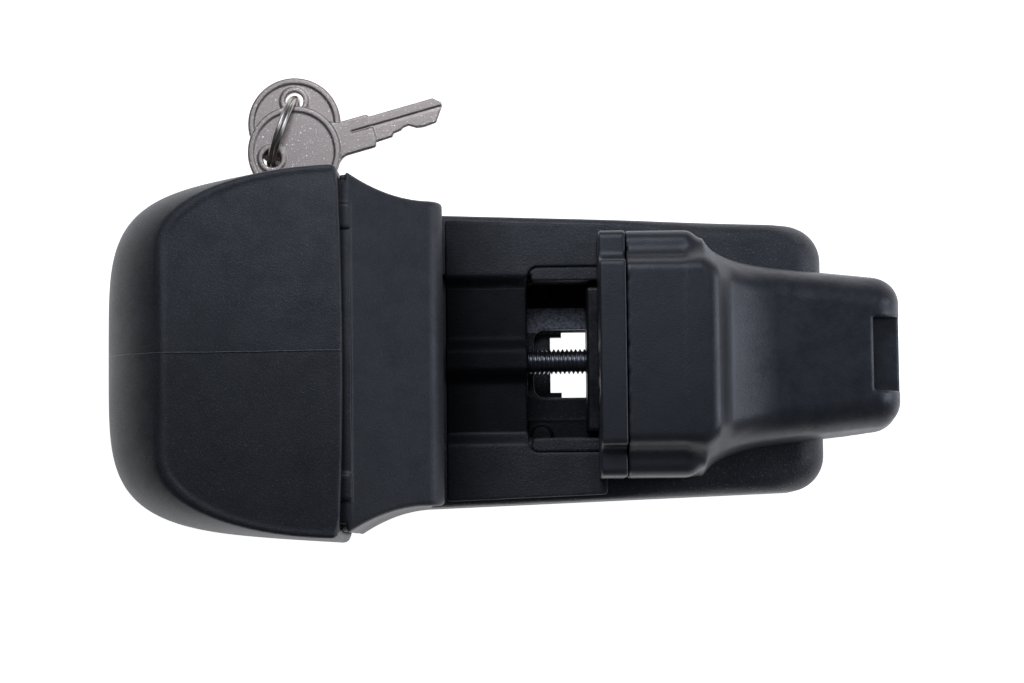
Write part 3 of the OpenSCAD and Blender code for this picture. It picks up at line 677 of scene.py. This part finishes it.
# ---------------------------------------------------------------- keys and ring
def key_form(u, v, w):
    """A flat key in its own frame: the bow's centre at 0, the blade along +u, w through its thickness."""
    half = KEY_T / 2
    aw, r = np.abs(w), np.hypot(u, v)
    hole = np.hypot(u - HOLE_AT, v)
    neck = both(span(u, 6, 18.3), np.abs(v + 0.1) - 3.85, 0.7)
    plan = either(r - BOW_R, neck, 1.6)
    key = both(plan, aw - half, 0.3)
    key = either(key, both(np.abs(r - BOW_R + 0.75) - 0.65, aw - half - 0.24, 0.2), 0.2)
    key = either(key, both(hole - HOLE_R - 1.1, aw - half - 0.14, 0.2), 0.3)
    floor = np.interp(u, [18.7, 22.2, 22.8, 24.5, 25.0, 26.4, 28.1, 29.7, 32.6, 34.9, 35.1],
                      [-2.9, -2.8, -2.1, -1.9, -1.5, -1.3, -2.4, -2.6, -2.4, 0.8, 1.6])
    top = np.interp(u, [17, 33.3, 35.1], [3.1, 3.1, 1.5])
    blade = both(both(floor - v, v - top, 0.1), span(u, 17, 35.0), 0.15)
    key = either(key, both(blade, aw - half + 0.05, 0.15))
    groove = both(both(np.abs(v - 0.75) - 0.25, 13.6 - u), 0.72 - aw)
    key = cut(key, groove, 0.12)
    ledge = both(both(span(v, -4.6, 0.55), 18.6 - u), half - 0.17 - w)
    key = cut(key, ledge, 0.08)
    return cut(key, hole - HOLE_R, 0.25)


def make_key(name, place, turn, body, node):
    points, faces = surface(key_form, (-11, -11, -1.6), (35.6, 11, 1.6), 0.2)
    piece = mesh_object(name, points, faces)
    piece.data.transform(Matrix.Translation(Vector(place) * MM) @ Matrix.Rotation(math.radians(turn), 4, "Z"))
    finish_piece(piece, body, [node], NICKEL)


def make_ring():
    """A split ring: one flattened wire wound into two turns that lie against each other."""
    middle, lean, reach, steps, around = (-49.94, 51.68), math.radians(70.4), 8.6, 300, 12
    along = np.array([math.cos(lean), math.sin(lean)])
    across = np.array([-along[1], along[0]])
    turn = np.linspace(0.3, 4 * math.pi + 0.1, steps)
    shift = 1.02 * smooth_step(turn, 2 * math.pi - 0.4, 2 * math.pi + 0.8) - 0.51
    flat = middle + np.outer(np.cos(turn) * reach, along) + np.outer(shift, across)
    line = np.column_stack([flat, 27.5 + reach * np.sin(turn)])
    tangent = np.gradient(line, axis=0)
    tangent /= np.linalg.norm(tangent, axis=1)[:, None]
    side = np.tile(np.append(across, 0), (steps, 1))
    other = np.cross(tangent, side)
    other /= np.linalg.norm(other, axis=1)[:, None]
    nearest = np.minimum(np.arange(steps), steps - 1 - np.arange(steps))
    thick = np.sqrt(np.clip(nearest / 3.0, 0.02, 1))[:, None]
    angle = np.linspace(0, 2 * math.pi, around, endpoint=False)
    half_wide, half_thick = 0.5, 0.4
    wire = [line + thick * (half_wide * math.cos(a) * side + half_thick * math.sin(a) * other) for a in angle]
    points = np.stack(wire, 1)
    finish_piece(tube("split_ring", points), "ring", ["key_ring"], RING_STEEL)


def tube(name, rings):
    """A closed skin over rings of points, from the first ring to the last."""
    steps, around = rings.shape[:2]
    i, k = np.meshgrid(np.arange(steps - 1), np.arange(around), indexing="ij")
    a, b = i * around + k, i * around + (k + 1) % around
    faces = np.stack([a, b, b + around, a + around], -1).reshape(-1, 4).tolist()
    n, last = steps * around, (steps - 1) * around
    for k in range(0, around, 2):
        m, o = k + 1, (k + 2) % around
        faces += [[n, o, m, k], [n + 1, last + k, last + m, last + o]]
    points = np.concatenate([rings.reshape(-1, 3), rings[0].mean(0)[None], rings[-1].mean(0)[None]])
    return mesh_object(name, points * MM, faces)


# ---------------------------------------------------------------- CAD nodes that stay
KEPT = {
    "back_cover": BASE_PLASTIC, "cover_screws": BLACK_STEEL, "fixed_jaw_screws": BLACK_STEEL,
    "thrust_plate": ZINC_STEEL, "strike_plate": ZINC_STEEL, "strike_screws": BLACK_STEEL,
    "screw_washer": ZINC_STEEL, "retaining_clip": ZINC_STEEL, "clamp_nut": ZINC_STEEL,
    "slider_plate": ZINC_STEEL, "jaw_screws": BLACK_STEEL, "lock_barrel": NICKEL,
    "lock_nut": ZINC_STEEL, "lock_plug": NICKEL, "lock_wafers": BRASS, "lock_cam": ZINC_STEEL,
    "cam_screw": ZINC_STEEL,
}


def paint_kept():
    for name, material in KEPT.items():
        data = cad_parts[name].data
        data.materials.clear()
        data.materials.append(material)


# ---------------------------------------------------------------- studio
AMBIENT = (0.054, 0.060, 0.072)
# Each soft box: its name, its place, the point it faces, its side in metres, and its power in watts
SOFT_BOXES = [
    ("side_box", (-0.02, 0.145, 0.23), (0.0, 0.0, 0.03), 0.14, 0.30),
    ("end_box", (0.27, 0.02, 0.15), (0.06, 0.0, 0.03), 0.12, 0.27),
]


def make_stage():
    """A pale floor that the part lies on."""
    half = 3.0
    corners = [(-half, -half, -0.0004), (half, -half, -0.0004), (half, half, -0.0004), (-half, half, -0.0004)]
    floor = mesh_object("floor", corners, [[0, 1, 2, 3]], smooth=False)
    material, _, shader = node_material("floor", (0.9, 0.9, 0.9), 0.9)
    shader.inputs["Emission Color"].default_value = (1, 1, 1, 1)
    shader.inputs["Emission Strength"].default_value = 1.0
    floor.data.materials.append(material)


def make_camera():
    elevation, roll, distance = math.radians(85.5), math.radians(0.65), 0.63
    target = Vector((0.001375, 0.004275, 0.020))
    back = Vector((0, -math.cos(elevation), math.sin(elevation)))
    level_up = Vector((0, math.sin(elevation), math.cos(elevation)))
    level_right = Vector((1, 0, 0))
    right = level_right * math.cos(roll) - level_up * math.sin(roll)
    up = level_right * math.sin(roll) + level_up * math.cos(roll)
    data = bpy.data.cameras.new("camera")
    data.lens, data.sensor_width = 96.97, 36
    data.clip_start, data.clip_end = 0.01, 20
    camera = bpy.data.objects.new("camera", data)
    turn = Matrix((right, up, back)).transposed().to_4x4()
    camera.matrix_world = Matrix.Translation(target + distance * back) @ turn
    bpy.context.scene.collection.objects.link(camera)
    bpy.context.scene.camera = camera


def make_world():
    """A dim even surround."""
    world = bpy.data.worlds.new("studio")
    bpy.context.scene.world = world
    world.use_nodes = True
    world.node_tree.nodes["Background"].inputs["Color"].default_value = (*AMBIENT, 1)


def make_soft_boxes():
    """Two near soft boxes: one on the +Y side, so that tones fall off towards -Y, and one past the tongue."""
    for name, place, aim, size, energy in SOFT_BOXES:
        data = bpy.data.lights.new(name, "AREA")
        data.shape, data.size, data.energy, data.color = "SQUARE", size, energy, (0.86, 0.93, 1.09)
        lamp = bpy.data.objects.new(name, data)
        way = (Vector(place) - Vector(aim)).to_track_quat("Z", "Y").to_matrix().to_4x4()
        lamp.matrix_world = Matrix.Translation(Vector(place)) @ way
        bpy.context.scene.collection.objects.link(lamp)


bpy.context.scene.view_settings.view_transform = "Standard"
make_camera()
make_cap()
flash_line()
make_fixed_jaw()
make_base()
make_deck()
make_jaw()
make_screw()
make_key("lock_key", (LOCK_X, 53.6, LOCK_Z), -90, "key", "inserted_key")
make_key("second_key", (-47.2, 46.7, 31.2), 15.6, "spare", "spare_key")
make_ring()
paint_kept()
make_stage()
make_world()
make_soft_boxes()
